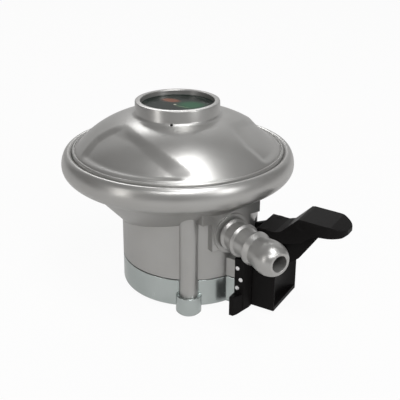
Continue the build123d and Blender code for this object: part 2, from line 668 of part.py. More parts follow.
with BuildPart() as pusher_ring:
    with BuildSketch(Plane.XZ):
        with Locations((STEM_R - RING_WIRE, RING_LOW + 1.2 * RING_WIRE)):
            Circle(RING_WIRE)
    revolve(axis=Axis.Z)
save(pusher_ring.part, "pusher_ring")

save(coil(PUSHER_R + 1.0, 0.4, GUIDE_Z, FLANGE_LOW, 2), "pusher_spring")

with BuildPart() as inlet_seal:
    with BuildSketch(Plane.XY.offset(CEILING_Z - SEAL_T)):
        Circle(SEAL_R - RUN)
        Circle(PUSHER_R + 0.4, mode=Mode.SUBTRACT)
    extrude(amount=SEAL_T)
save(inlet_seal.part, "inlet_seal")

with BuildPart() as valve_fork:
    with BuildSketch(Plane.XY.offset(FORK_LOW)):
        with Locations(((FORK_PIN[0] - 2 + FORK_END) / 2, 0)):
            Rectangle(FORK_END - FORK_PIN[0] + 2, 2 * FORK_OUT)
        with Locations(((FORK_PIN[0] + 4 + FORK_END + 2) / 2, 0)):
            Rectangle(FORK_END + 2 - FORK_PIN[0] - 4, 2 * FORK_IN, mode=Mode.SUBTRACT)
    extrude(amount=FORK_T)
    with BuildSketch(Plane.XZ):
        with Locations(FORK_PIN):
            Circle(1.85)
    extrude(amount=FORK_OUT, both=True)
    with BuildSketch(Plane.XZ):
        with Locations(FORK_PIN):
            Circle(FORK_PIN_R + RUN)
    extrude(amount=FORK_OUT + 1, both=True, mode=Mode.SUBTRACT)
save(valve_fork.part, "valve_fork")

with BuildPart() as fork_pin:
    with BuildSketch(Plane.XZ):
        with Locations(FORK_PIN):
            Circle(FORK_PIN_R)
    extrude(amount=SLOT_Y + 1.8, both=True)
save(fork_pin.part, "fork_pin")

# ---- On/off lever -------------------------------------------------------------
NOSE_X, NOSE_Z = FORK_END - 0.6, FORK_LOW + FORK_T + 0.7
with BuildPart() as on_off_lever:
    # Top plate, rise and thumb pad
    with BuildSketch(Plane.XZ):
        with BuildLine():
            Polyline(
                (PIVOT_X - 2.6, PIVOT_Z + LUG_R + 0.4), (PIVOT_X - 2.6, PIVOT_Z + HUB_R),
                (34.4, PIVOT_Z + HUB_R - 0.2), (36.6, PIVOT_Z + HUB_R + 0.5),
                (42.0, 32.8), (43.0, 33.0), (52.5, 32.6), (56.6, 31.2), (56.8, 29.9), (55.6, 29.2),
                (49.0, 28.6), (46.6, 28.0), (43.4, 25.2), (37.4, 23.4), (35.2, PIVOT_Z + LUG_R + 0.4),
                close=True,
            )
        make_face()
    extrude(amount=CHEEK_OUT, both=True)
    # Central lobe under the neck
    with BuildSketch(Plane.XZ):
        with BuildLine():
            Polyline(
                (35.4, 26.0), (35.4, 17.0), (36.4, 15.7), (39.0, 16.0), (42.0, 18.4), (45.5, 23.6),
                (49.0, 28.8), (44.0, 29.0), close=True,
            )
        make_face()
    extrude(amount=LOBE_Y, both=True)
    # Round the end of the pad in plan
    with BuildSketch(Plane.XY.offset(10)):
        with BuildLine():
            tip = 57.0
            Polyline((20, -CHEEK_OUT - 1), (38.0, -CHEEK_OUT - 1), (40.0, -CHEEK_OUT), (tip - CHEEK_OUT, -CHEEK_OUT))
            ThreePointArc((tip - CHEEK_OUT, -CHEEK_OUT), (tip, 0), (tip - CHEEK_OUT, CHEEK_OUT))
            Polyline((tip - CHEEK_OUT, CHEEK_OUT), (40.0, CHEEK_OUT), (38.0, CHEEK_OUT + 1), (20, CHEEK_OUT + 1), (20, -CHEEK_OUT - 1))
        make_face()
    extrude(amount=30, mode=Mode.INTERSECT)
    # Hub cheeks with the noses that press the fork
    for side in (-1, 1):
        with BuildSketch(Plane.XZ.offset(-side * (CHEEK_IN + CHEEK_OUT) / 2)):
            with Locations((PIVOT_X, PIVOT_Z)):
                Circle(HUB_R)
            with BuildLine():
                Polyline(
                    (PIVOT_X - 4.6, PIVOT_Z + 3.0), (NOSE_X, NOSE_Z + 1.0), (NOSE_X, NOSE_Z - 0.3),
                    (PIVOT_X - 4.6, PIVOT_Z - 2.4), close=True,
                )
            make_face()
            with Locations(((35.0 + PIVOT_X) / 2 + 1, PIVOT_Z + 1.5)):
                Rectangle(5.8, 7.0)
        extrude(amount=(CHEEK_OUT - CHEEK_IN) / 2, both=True)
    with BuildSketch(Plane.XZ):
        with Locations((PIVOT_X, PIVOT_Z)):
            Circle(LEVER_PIN_R + RUN)
    extrude(amount=CHEEK_OUT + 1, both=True, mode=Mode.SUBTRACT)
save(on_off_lever.part, "on_off_lever")

with BuildPart() as lever_pin:
    with BuildSketch(Plane.XZ):
        with Locations((PIVOT_X, PIVOT_Z)):
            Circle(LEVER_PIN_R)
    extrude(amount=CHEEK_OUT - 0.2, both=True)
save(lever_pin.part, "lever_pin")

# ---- Release button, cover, locking plate and springs --------------------------
with BuildPart() as release_button:
    with BuildSketch(Plane.XY.offset(BUTTON_LOW)):
        with Locations(((COVER_IN + 0.4 + BUTTON_FACE) / 2, 0)):
            Rectangle(BUTTON_FACE - COVER_IN - 0.4, 2 * BUTTON_Y)
    extrude(amount=BUTTON_TOP - BUTTON_LOW)
    with BuildSketch(Plane.XY.offset(PLATE_LOW)):
        with Locations(((BUTTON_BACK + COVER_IN + 1) / 2, 0)):
            Rectangle(COVER_IN + 1 - BUTTON_BACK, 2 * BUTTON_Y)
    extrude(amount=BUTTON_TOP - PLATE_LOW)
    # Thumb hollow above a lip
    with BuildSketch(Plane.XY.offset(BUTTON_LOW + 1.4)):
        with Locations((BUTTON_FACE + 13.6, 0)):
            Circle(16.0)
    extrude(amount=BUTTON_TOP, mode=Mode.SUBTRACT)
    # Spigots for the springs, and the slot of the locking plate
    for side in (-1, 1):
        with BuildSketch(Plane.YZ.offset(BUTTON_BACK)):
            with Locations((side * SPRING_Y, SPRING_Z)):
                Circle(1.4)
        extrude(amount=-3.0)
    with BuildSketch(Plane.XY.offset(PLATE_LOW)):
        with Locations((BUTTON_BACK + 1.8, 0)):
            Rectangle(4.0, 2 * TAIL_Y)
    extrude(amount=PLATE_T, mode=Mode.SUBTRACT)
save(release_button.part, "release_button")

with BuildPart() as locking_plate:
    with BuildSketch(Plane.XY.offset(PLATE_LOW)):
        with Locations((BUTTON_TRAVEL, 0)):
            Circle(PLATE_HOLE + PLATE_RING)
        with Locations(((PLATE_HOLE + BUTTON_BACK + 3.8) / 2, 0)):
            Rectangle(BUTTON_BACK + 3.8 - PLATE_HOLE, 2 * TAIL_Y)
        with Locations((BUTTON_TRAVEL, 0)):
            Circle(PLATE_HOLE, mode=Mode.SUBTRACT)
    extrude(amount=PLATE_T)
save(locking_plate.part, "locking_plate")

with BuildPart() as button_cover:
    with BuildSketch(Plane.XY):
        Circle(COVER_OUT)
        Circle(COVER_IN, mode=Mode.SUBTRACT)
        with Locations((ARM_X + RUN + 20, 0)):
            Rectangle(40, 2 * COVER_Y, mode=Mode.INTERSECT)
    extrude(amount=COVER_TOP)
    for side in (-1, 1):
        with BuildSketch(Plane.XY):
            with Locations((ARM_X + RUN + 1.5, side * (ARM_Y + COVER_Y - 1.1) / 2)):
                Rectangle(3.0, COVER_Y - ARM_Y + 1.1)
        extrude(amount=COVER_TOP)
        # Foot that spreads out at the bottom
        with BuildSketch(Plane.XY.offset(FOOT_LOW)):
            with BuildLine():
                Polyline(
                    (ARM_X + RUN, side * (COVER_Y - 2.1)), (ARM_X + RUN, side * FOOT_Y),
                    (ARM_X + 1.4, side * FOOT_Y), (28.4, side * 9.6), (26.8, side * 9.6),
                    (26.0, side * (COVER_Y - 2.1)), close=True,
                )
            make_face()
        extrude(amount=FOOT_TOP - FOOT_LOW)
        # The foot's underside rises towards the window
        with BuildSketch(Plane.YZ.offset(ARM_X)):
            with BuildLine():
                Polyline(
                    (side * (FOOT_Y - 1.4), FOOT_LOW), (side * BUTTON_Y, 0),
                    (side * BUTTON_Y, FOOT_LOW), close=True,
                )
            make_face()
        extrude(amount=COVER_OUT - ARM_X, mode=Mode.SUBTRACT)
    # Window of the button, open at the bottom
    with BuildSketch(Plane.XY.offset(FOOT_LOW)):
        with Locations((28, 0)):
            Rectangle(12, 2 * (BUTTON_Y + 0.25))
    extrude(amount=BUTTON_TOP + CLEAR - FOOT_LOW, mode=Mode.SUBTRACT)
    with BuildSketch(Plane.XY.offset(BRIDGE_TOP)):
        with Locations((28, 0)):
            Rectangle(12, 2 * (BUTTON_Y + 0.25))
    extrude(amount=10, mode=Mode.SUBTRACT)
    # Pockets for the tongues, and the rivet holes
    for side in (-1, 1):
        with BuildSketch(Plane.XY.offset(CAST_LOW)):
            with Locations(((ARM_X + TONGUE_X + RUN) / 2, side * (TUNNEL_Y + TONGUE_T / 2))):
                Rectangle(TONGUE_X - ARM_X + RUN, TONGUE_T + 2 * RUN)
        extrude(amount=TUNNEL_TOP + 0.1 - CAST_LOW, mode=Mode.SUBTRACT)
    for rivet_x, rivet_z in RIVETS:
        with BuildSketch(Plane.XZ):
            with Locations((rivet_x, rivet_z)):
                Circle(RIVET_R)
        extrude(amount=COVER_Y + 1, both=True, mode=Mode.SUBTRACT)
save(button_cover.part, "button_cover")

with BuildPart() as cover_rivets:
    for rivet_x, rivet_z in RIVETS:
        for side in (-1, 1):
            with BuildSketch(Plane.XZ.offset(-side * (TUNNEL_Y + 0.1))):
                with Locations((rivet_x, rivet_z)):
                    Circle(RIVET_R)
            extrude(amount=-side * (COVER_Y - TUNNEL_Y - 0.1))
            with BuildSketch(Plane.XZ.offset(-side * COVER_Y)):
                with Locations((rivet_x, rivet_z)):
                    Circle(RIVET_HEAD_R)
            extrude(amount=-side * RIVET_HEAD_T)
save(cover_rivets.part, "cover_rivets")

for side, spring_name in ((-1, "button_spring_near"), (1, "button_spring_far")):
    save(side_coil(2.1, 0.5, SPRING_LUG_X, BUTTON_BACK, 6, side * SPRING_Y, SPRING_Z), spring_name)
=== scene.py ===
# %% [markdown]
# A clip-on gas regulator is mostly one zinc casting: a shallow dish that holds the diaphragm, a round
# skirt that goes over the cylinder valve, and a barbed nozzle for the hose. The exact shapes come from the
# imported CAD model, so this script first loads them and keeps their box.
# %% Load the frame
import json
from math import atan2, cos, degrees, hypot, pi, radians, sin

import bmesh
import bpy
from mathutils import Matrix, Vector


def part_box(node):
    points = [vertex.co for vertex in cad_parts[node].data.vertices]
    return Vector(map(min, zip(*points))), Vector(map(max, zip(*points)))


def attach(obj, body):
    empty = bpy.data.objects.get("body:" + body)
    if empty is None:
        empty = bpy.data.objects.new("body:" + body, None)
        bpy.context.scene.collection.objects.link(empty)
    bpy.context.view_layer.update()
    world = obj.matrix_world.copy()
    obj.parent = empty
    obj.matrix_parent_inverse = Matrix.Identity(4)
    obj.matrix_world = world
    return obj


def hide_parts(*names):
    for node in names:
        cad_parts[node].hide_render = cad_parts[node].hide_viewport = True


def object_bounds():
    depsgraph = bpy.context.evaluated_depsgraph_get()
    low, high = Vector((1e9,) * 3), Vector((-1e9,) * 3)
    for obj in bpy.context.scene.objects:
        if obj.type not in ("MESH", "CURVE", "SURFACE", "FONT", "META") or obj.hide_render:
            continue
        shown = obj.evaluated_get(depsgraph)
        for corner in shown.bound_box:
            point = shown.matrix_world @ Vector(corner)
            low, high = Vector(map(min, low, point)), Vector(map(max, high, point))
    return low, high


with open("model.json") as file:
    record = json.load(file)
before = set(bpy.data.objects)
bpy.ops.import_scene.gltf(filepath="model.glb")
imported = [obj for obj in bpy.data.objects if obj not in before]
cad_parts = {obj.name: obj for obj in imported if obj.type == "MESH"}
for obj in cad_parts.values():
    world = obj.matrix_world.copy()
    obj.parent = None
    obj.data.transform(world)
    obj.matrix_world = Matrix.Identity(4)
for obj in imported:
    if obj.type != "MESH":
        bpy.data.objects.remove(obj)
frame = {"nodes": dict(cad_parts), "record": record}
nodes = frame["nodes"]
cad_box = [list(corner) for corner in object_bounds()]
MM = 0.001
print("CAD box", cad_box)

# %% [markdown]
# The camera stands a quarter of a metre away and looks down a little on the dish. A camera this near shows
# the dish wider in front than behind. The lens axis goes through the dish, and a lens shift moves the
# picture's frame down to the skirt. Turning the camera down instead would change how the dish is seen.
# %% Camera
dish_low, dish_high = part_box("bonnet")
dish_x = (dish_low.x + dish_high.x) / 2
AIM_HEIGHT = 4.4 * MM                   # above the foot of the bonnet
CAMERA_DISTANCE = 243.6 * MM
CAMERA_TURN, CAMERA_RISE, CAMERA_ROLL = radians(32), radians(19.33), radians(-0.2)
SENSOR_WIDTH, LENS_LENGTH = 36, 64.7
LENS_SHIFT = (0.056, -0.138)
lens_target = Vector((dish_x, 0, dish_low.z + AIM_HEIGHT))
view_line = Vector((
    -sin(CAMERA_TURN) * cos(CAMERA_RISE),
    cos(CAMERA_TURN) * cos(CAMERA_RISE),
    -sin(CAMERA_RISE),
))
camera = bpy.data.objects.new("camera", bpy.data.cameras.new("camera"))
bpy.context.scene.collection.objects.link(camera)
bpy.context.scene.camera = camera
camera.matrix_world = (
    Matrix.Translation(lens_target - view_line * CAMERA_DISTANCE)
    @ view_line.to_track_quat("-Z", "Y").to_matrix().to_4x4()
    @ Matrix.Rotation(CAMERA_ROLL, 4, "Z")
)
camera.data.sensor_width = SENSOR_WIDTH
camera.data.lens = LENS_LENGTH
camera.data.shift_x, camera.data.shift_y = LENS_SHIFT
camera.data.clip_start = 10 * MM
print("camera at", tuple(round(v, 3) for v in camera.location))

# %% [markdown]
# A shader group keeps an effect in one place. The first helper makes one with named inputs and outputs, so
# that each material below can use it with its own numbers. The others join two sockets and do a sum.
# %% Helpers for shader nodes
def new_group(name, inputs, outputs):
    group = bpy.data.node_groups.new(name, "ShaderNodeTree")
    for label, value in inputs:
        kind = "NodeSocketVector" if value is None else "NodeSocketFloat"
        socket = group.interface.new_socket(label, in_out="INPUT", socket_type=kind)
        if value is not None:
            socket.default_value = value
    for label in outputs:
        group.interface.new_socket(label, in_out="OUTPUT", socket_type="NodeSocketFloat")
    return group, group.nodes.new("NodeGroupInput"), group.nodes.new("NodeGroupOutput")


def join(tree, source, target):
    tree.links.new(source, target)


def maths(tree, operation, first, second):
    node = tree.nodes.new("ShaderNodeMath")
    node.operation = operation
    for socket, value in zip(node.inputs, (first, second)):
        if isinstance(value, (int, float)):
            socket.default_value = value
        else:
            join(tree, value, socket)
    return node.outputs[0]


# %% [markdown]
# Paint on a casting isn't quite even. It has a fine orange peel, and under it the soft waves of the cast
# surface. The same two scales of noise also suit plated steel and moulded plastic, with other sizes and
# depths, so they go into one group. It gives a height for bump, and a mask that varies colour and gloss.
# %% Group: surface grain
grain, grain_in, grain_out = new_group(
    "surface grain",
    [("Vector", None), ("Fine Scale", 2600.0), ("Wave Scale", 110.0), ("Wave Share", 0.5)],
    ["Height", "Mask"],
)
fine = grain.nodes.new("ShaderNodeTexNoise")
fine.inputs["Detail"].default_value = 3.0
wave = grain.nodes.new("ShaderNodeTexNoise")
wave.inputs["Detail"].default_value = 2.0
for texture, scale in ((fine, "Fine Scale"), (wave, "Wave Scale")):
    join(grain, grain_in.outputs["Vector"], texture.inputs["Vector"])
    join(grain, grain_in.outputs[scale], texture.inputs["Scale"])
waves = maths(grain, "MULTIPLY", wave.outputs["Fac"], grain_in.outputs["Wave Share"])
join(grain, maths(grain, "ADD", fine.outputs["Fac"], waves), grain_out.inputs["Height"])
join(grain, wave.outputs["Fac"], grain_out.inputs["Mask"])
print("group", grain.name)

# %% [markdown]
# Handling leaves marks. Scratches are long and thin, so this group squeezes a noise across one direction
# and keeps only its highest part. Plastic and plated steel turn paler and rougher there.
# %% Group: scuffs
scuffs, scuff_in, scuff_out = new_group(
    "scuffs", [("Vector", None), ("Scale", 260.0), ("Amount", 0.5)], ["Mask"]
)
squeeze = scuffs.nodes.new("ShaderNodeMapping")
squeeze.inputs["Rotation"].default_value = (0.4, 0.9, 0.3)
squeeze.inputs["Scale"].default_value = (1.0, 9.0, 1.0)
streaks = scuffs.nodes.new("ShaderNodeTexNoise")
streaks.inputs["Detail"].default_value = 6.0
streaks.inputs["Roughness"].default_value = 0.65
keep = scuffs.nodes.new("ShaderNodeMapRange")
keep.inputs["From Min"].default_value = 0.60     # a noise value under this leaves no mark
keep.inputs["From Max"].default_value = 0.78     # and one over this leaves a full mark
join(scuffs, scuff_in.outputs["Vector"], squeeze.inputs["Vector"])
join(scuffs, squeeze.outputs["Vector"], streaks.inputs["Vector"])
join(scuffs, scuff_in.outputs["Scale"], streaks.inputs["Scale"])
join(scuffs, streaks.outputs["Fac"], keep.inputs["Value"])
marked_share = maths(scuffs, "MULTIPLY", keep.outputs["Result"], scuff_in.outputs["Amount"])
join(scuffs, marked_share, scuff_out.inputs["Mask"])
print("group", scuffs.name)

# %% [markdown]
# Every finish below is built the same way: two colours mixed by the grain's mask, a roughness that varies
# between two values, a bump from the grain, and a few scuffs. A Bevel node rounds the look of sharp CAD
# edges by a fraction of a millimetre, which catches the light as a real broken edge does.
# %% Helper: a finish
SCUFF_ROUGHNESS = 0.25                  # how much rougher a full mark is


def finish(name, light, dark, metallic, rough, bump, fine_scale, wave_scale, wave_share=0.5,
           scuff=0.0, scuff_colour=None, edge=0.25, ior=1.5):
    material = bpy.data.materials.new(name)
    material.use_nodes = True
    tree = material.node_tree
    shader = tree.nodes["Principled BSDF"]
    place = tree.nodes.new("ShaderNodeTexCoord").outputs["Object"]
    texture = tree.nodes.new("ShaderNodeGroup")
    texture.node_tree = grain
    texture.inputs["Fine Scale"].default_value = fine_scale
    texture.inputs["Wave Scale"].default_value = wave_scale
    texture.inputs["Wave Share"].default_value = wave_share
    join(tree, place, texture.inputs["Vector"])
    marks = tree.nodes.new("ShaderNodeGroup")
    marks.node_tree = scuffs
    marks.inputs["Amount"].default_value = scuff
    join(tree, place, marks.inputs["Vector"])
    base = tree.nodes.new("ShaderNodeMix")
    base.data_type = "RGBA"
    base.inputs["A"].default_value = (*dark, 1)
    base.inputs["B"].default_value = (*light, 1)
    join(tree, texture.outputs["Mask"], base.inputs["Factor"])
    marked = tree.nodes.new("ShaderNodeMix")
    marked.data_type = "RGBA"
    marked.inputs["B"].default_value = (*(scuff_colour or light), 1)
    join(tree, marks.outputs["Mask"], marked.inputs["Factor"])
    join(tree, base.outputs["Result"], marked.inputs["A"])
    join(tree, marked.outputs["Result"], shader.inputs["Base Color"])
    low, high = rough
    varied = maths(tree, "MULTIPLY_ADD", texture.outputs["Mask"], high - low)
    varied.node.inputs[2].default_value = low
    worn = maths(tree, "MULTIPLY", marks.outputs["Mask"], SCUFF_ROUGHNESS)
    join(tree, maths(tree, "ADD", varied, worn), shader.inputs["Roughness"])
    rounded = tree.nodes.new("ShaderNodeBevel")
    rounded.samples = 4
    rounded.inputs["Radius"].default_value = edge * MM
    relief = tree.nodes.new("ShaderNodeBump")
    relief.inputs["Strength"].default_value = 1.0
    relief.inputs["Distance"].default_value = bump * MM
    join(tree, texture.outputs["Height"], relief.inputs["Height"])
    join(tree, rounded.outputs["Normal"], relief.inputs["Normal"])
    join(tree, relief.outputs["Normal"], shader.inputs["Normal"])
    shader.inputs["Metallic"].default_value = metallic
    shader.inputs["IOR"].default_value = ior
    return material


# %% [markdown]
# The casting and the bonnet are sprayed with a satin silver paint. Metal flake paint reflects softly and
# keeps a grey of its own, so it is mostly metallic, but rougher than bare metal. The cup, its screws and
# the fork are zinc-plated steel, which is smoother and slightly green and blue. The lever, button and
# cover are moulded in black plastic. Each finish is a light and a dark colour, a metallic share, a range
# of roughness, a depth of bump in millimetres, two noise scales, and how much of the second noise it has.
# %% Materials of the metal and plastic pieces
silver_paint = finish("satin silver paint", (0.44, 0.44, 0.432), (0.38, 0.374, 0.362), 0.70, (0.27, 0.36),
                      0.012, 3200, 90, 1.0, scuff=0.05, scuff_colour=(0.42, 0.42, 0.42), edge=0.20)
zinc_steel = finish("zinc plated steel", (0.52, 0.56, 0.55), (0.40, 0.44, 0.43), 0.9, (0.16, 0.28),
                    0.006, 1800, 140, 2.0, scuff=0.35, scuff_colour=(0.72, 0.74, 0.73), edge=0.45)
bright_steel = finish("bright steel", (0.80, 0.80, 0.80), (0.70, 0.70, 0.71), 1.0, (0.16, 0.28),
                      0.004, 2400, 300, 1.0, scuff=0.3, scuff_colour=(0.6, 0.6, 0.6), edge=0.15)
spring_wire = finish("drawn spring wire", (0.58, 0.58, 0.60), (0.45, 0.45, 0.47), 1.0, (0.22, 0.36),
                     0.004, 3000, 500, 1.0, scuff=0.3, scuff_colour=(0.4, 0.4, 0.4), edge=0.05)
black_plastic = finish("moulded black plastic", (0.008, 0.007, 0.007), (0.005, 0.005, 0.005), 0.0,
                       (0.34, 0.50), 0.010, 2200, 130, 1.2, scuff=0.3,
                       scuff_colour=(0.035, 0.035, 0.035), edge=0.40, ior=1.18)
rubber = finish("black rubber", (0.030, 0.030, 0.030), (0.018, 0.018, 0.018), 0.0, (0.60, 0.80),
                0.015, 1500, 200, 0.6, scuff=0.4, scuff_colour=(0.09, 0.09, 0.09), edge=0.10)
brass = finish("turned brass", (0.78, 0.60, 0.31), (0.66, 0.48, 0.23), 1.0, (0.18, 0.30),
               0.005, 2600, 260, 0.8, scuff=0.3, scuff_colour=(0.55, 0.42, 0.24), edge=0.12)
finish_of = {
    "silver_paint": silver_paint, "zinc_steel": zinc_steel, "bright_steel": bright_steel,
    "spring_wire": spring_wire, "black_plastic": black_plastic, "black_rubber": rubber,
    "brass": brass, "dark_badge": black_plastic,
}
for subpart in frame["record"]["subparts"]:
    for slot in nodes[subpart["node"]].material_slots:
        slot.material = finish_of[subpart["material_slot"]]
print(len(nodes), "CAD pieces have a finish")

# %% [markdown]
# The bonnet is a round shell: a dome, a collar on top of it, and a flange that sits in the casting's rim
# with a groove round it. Such a shape is a profile turned about an axis, so the profile is drawn first, as
# radius and height in millimetres, and then spun. Small slants break the collar's sharp edges, and the
# dome gets many steps, because a later cell presses shapes into it.
# %% Profile of the bonnet
ARC_CENTRE, ARC_RADIUS = (8.882, 25.057), 33.525     # the dome's arc
EDGE_R, EDGE_Z = 34.4, 46.8                          # foot of the dome at the groove
FOOT_R, FOOT_Z = 15.1, 58.0                          # where the dome meets the collar
COLLAR_R, COLLAR_BORE, COLLAR_TOP = 14.2, 12.3, dish_high.z / MM
CAP_SEAT_Z, ADJUSTER_R, ADJUSTER_FOOT_Z = 60.2, 11.8, 55.4
WALL = 2.2                                           # thickness of the dome
FLANGE_R, FLANGE_IN_R, FLANGE_Z = 37.0, 33.0, dish_low.z / MM
FLANGE_TOP_Z, NECK_R = 44.2, 35.6                    # step from the flange to the groove's wall
INSIDE_SHORTER = (0.07, 0.02)                        # radians that the inner arc stops short at its ends
DOME_STEPS, INSIDE_STEPS, TURN_STEPS = 60, 12, 360


def arc_points(start, end, radius_change, steps):
    """Points along the dome's arc, or along one concentric with it, from one angle to another."""
    radius = ARC_RADIUS + radius_change
    angles = [start + (end - start) * k / steps for k in range(steps + 1)]
    return [(ARC_CENTRE[0] + radius * cos(a), ARC_CENTRE[1] + radius * sin(a)) for a in angles]


edge_angle = atan2(EDGE_Z - ARC_CENTRE[1], EDGE_R - ARC_CENTRE[0])
foot_angle = atan2(FOOT_Z - ARC_CENTRE[1], FOOT_R - ARC_CENTRE[0])
collar = [
    (FOOT_R - 0.35, FOOT_Z + 0.18), (COLLAR_R + 0.15, FOOT_Z + 0.55), (COLLAR_R, FOOT_Z + 0.95),
    (COLLAR_R, COLLAR_TOP - 0.5), (COLLAR_R - 0.15, COLLAR_TOP - 0.15), (COLLAR_R - 0.5, COLLAR_TOP),
    (COLLAR_BORE + 0.25, COLLAR_TOP), (COLLAR_BORE + 0.05, COLLAR_TOP - 0.2), (COLLAR_BORE, CAP_SEAT_Z),
    (ADJUSTER_R, CAP_SEAT_Z), (ADJUSTER_R, ADJUSTER_FOOT_Z),
]
inside = arc_points(foot_angle - INSIDE_SHORTER[0], edge_angle + INSIDE_SHORTER[1], -WALL, INSIDE_STEPS)
flange = [(FLANGE_IN_R, FLANGE_Z), (FLANGE_R, FLANGE_Z), (FLANGE_R, FLANGE_TOP_Z), (NECK_R, FLANGE_TOP_Z)]
groove_lip = [(NECK_R, 45.5), (35.5, 46.6), (35.2, 46.9), (34.95, 46.9), (34.75, 46.45), (34.6, 46.4)]
dome = arc_points(edge_angle, foot_angle, 0.0, DOME_STEPS)
profile = collar + inside + flange + groove_lip + dome
print(len(profile), "points in the profile")

# %% Turn the profile about the dish's axis
shell = bmesh.new()
ring = [shell.verts.new((dish_x + r * MM, 0, z * MM)) for r, z in profile]
for first, second in zip(ring, ring[1:] + ring[:1]):
    shell.edges.new((first, second))
bmesh.ops.spin(shell, geom=shell.verts[:] + shell.edges[:], cent=(dish_x, 0, 0), axis=(0, 0, 1),
               angle=2 * pi, steps=TURN_STEPS, use_merge=True)
print("bonnet shell", len(shell.verts), "points")

# %% [markdown]
# The dome has three shallow petals pressed into it, like the blades of a fan. Each starts at a steep edge
# that runs out from the collar, and ends in a long soft ridge that sweeps along the rim. They could be
# curved patches of their own, but lowering the points of the plain dome is simpler. It works here because a
# petal has no corner, and its depth is at most the thickness of a coin.
# %% Petals pressed into the dome
PETALS = 3
PETAL_DEPTH = 1.15
PETAL_TOP = 18.6                        # distance from the axis at which a petal begins
STEEP_WIDTH, RIDGE_WIDTH = 4.2, 7.5     # how far a petal takes to reach its depth, at its start and ridge
TOP_FADE, EDGE_FADE = 5.0, 2.4          # and the same towards the collar and towards the groove
RIDGE_FLAT = 0.2                        # strip along the ridge that stays at the dome's own height
LEAD = 12                               # degrees before a petal's start that are counted with it
ARC_TOLERANCE = 0.02                    # a point this near the dome's arc is on the dome
# Distance from the axis in millimetres, and angle in degrees, along a petal's start and along its ridge
PETAL_START = ((18.0, -122.0), (20.0, -126.0), (24.0, -129.7),
               (27.7, -131.0), (31.0, -128.5), (34.4, -126.0))
RIDGE = ((18.0, -104.0), (20.4, -94.5), (24.4, -71.6),
         (28.7, -57.3), (31.5, -49.3), (34.4, -44.0))


def soft_step(value):
    value = min(1.0, max(0.0, value))
    return value * value * (3 - 2 * value)


def angle_at(r, line):
    """The angle of a petal's start or ridge, by distance from the dish's axis."""
    for (r0, a0), (r1, a1) in zip(line, line[1:]):
        if r <= r1:
            return a0 + (a1 - a0) * (r - r0) / (r1 - r0)
    return line[-1][1]


def petal(r, angle):
    """How far a point of the dome is pressed in, from 0 to 1."""
    start = angle_at(r, PETAL_START)
    turn = (angle - start + LEAD) % (360 / PETALS) - LEAD
    from_start = radians(turn) * r
    to_ridge = radians(angle_at(r, RIDGE) - start - turn) * r
    return (
        soft_step(from_start / STEEP_WIDTH) * soft_step((to_ridge - RIDGE_FLAT) / RIDGE_WIDTH)
        * soft_step((r - PETAL_TOP) / TOP_FADE) * soft_step((EDGE_R - r) / EDGE_FADE)
    )


pressed = 0
for vert in shell.verts:
    x, y = (vert.co.x - dish_x) / MM, vert.co.y / MM
    r, z = hypot(x, y), vert.co.z / MM
    on_dome = abs(hypot(r - ARC_CENTRE[0], z - ARC_CENTRE[1]) - ARC_RADIUS) < ARC_TOLERANCE
    if on_dome and PETAL_TOP < r < EDGE_R:
        vert.co.z -= PETAL_DEPTH * petal(r, degrees(atan2(y, x))) * MM
        pressed += 1
bmesh.ops.recalc_face_normals(shell, faces=shell.faces[:])
print(pressed, "points lie where the petals are")

# %% [markdown]
# A small hole at the collar's foot lets the air above the diaphragm breathe. It is drilled with a Boolean
# modifier, because a drill goes through a curved wall at a slant more cleanly than an inset of single faces
# does. The drill is a thin cylinder that is removed afterwards.
# %% Bonnet object and the drill for its vent
VENT_R, DRILL_LENGTH = 0.48 * MM, 9 * MM
VENT_TURN, VENT_OUT, VENT_Z = radians(-65.5), 14.5 * MM, 58.3 * MM


def new_piece(name, shape):
    """An object in the scene from a bmesh, which is freed."""
    piece = bpy.data.objects.new(name, bpy.data.meshes.new(name))
    bpy.context.scene.collection.objects.link(piece)
    shape.to_mesh(piece.data)
    shape.free()
    return piece


bonnet = new_piece("pressed_bonnet", shell)
drill_mesh = bmesh.new()
bmesh.ops.create_cone(drill_mesh, cap_ends=True, segments=24, radius1=VENT_R, radius2=VENT_R,
                      depth=DRILL_LENGTH)
vent_line = Vector((cos(VENT_TURN), sin(VENT_TURN), 1.0)).normalized()
vent_at = Vector((dish_x + VENT_OUT * cos(VENT_TURN), VENT_OUT * sin(VENT_TURN), VENT_Z))
drill_turn = vent_line.to_track_quat("Z", "Y").to_matrix().to_4x4()
bmesh.ops.transform(drill_mesh, verts=drill_mesh.verts[:], matrix=Matrix.Translation(vent_at) @ drill_turn)
drill = new_piece("drill", drill_mesh)
print("vent at", tuple(round(v, 4) for v in vent_at))

# %% Drill the vent and finish the bonnet
SHARP_FROM = radians(38)
cut = bonnet.modifiers.new("vent", "BOOLEAN")
cut.object, cut.operation, cut.solver = drill, "DIFFERENCE", "EXACT"
bpy.context.view_layer.update()
finished = bonnet.evaluated_get(bpy.context.evaluated_depsgraph_get())
drilled = bpy.data.meshes.new_from_object(finished)
bonnet.modifiers.clear()
bonnet.data = drilled
bpy.data.objects.remove(drill)
bonnet.data.materials.clear()
bonnet.data.materials.append(silver_paint)
bonnet.data.shade_smooth()
bonnet.data.set_sharp_from_angle(angle=SHARP_FROM)
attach(bonnet, "regulator_body")
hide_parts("bonnet")
print("bonnet has", len(bonnet.data.polygons), "faces")

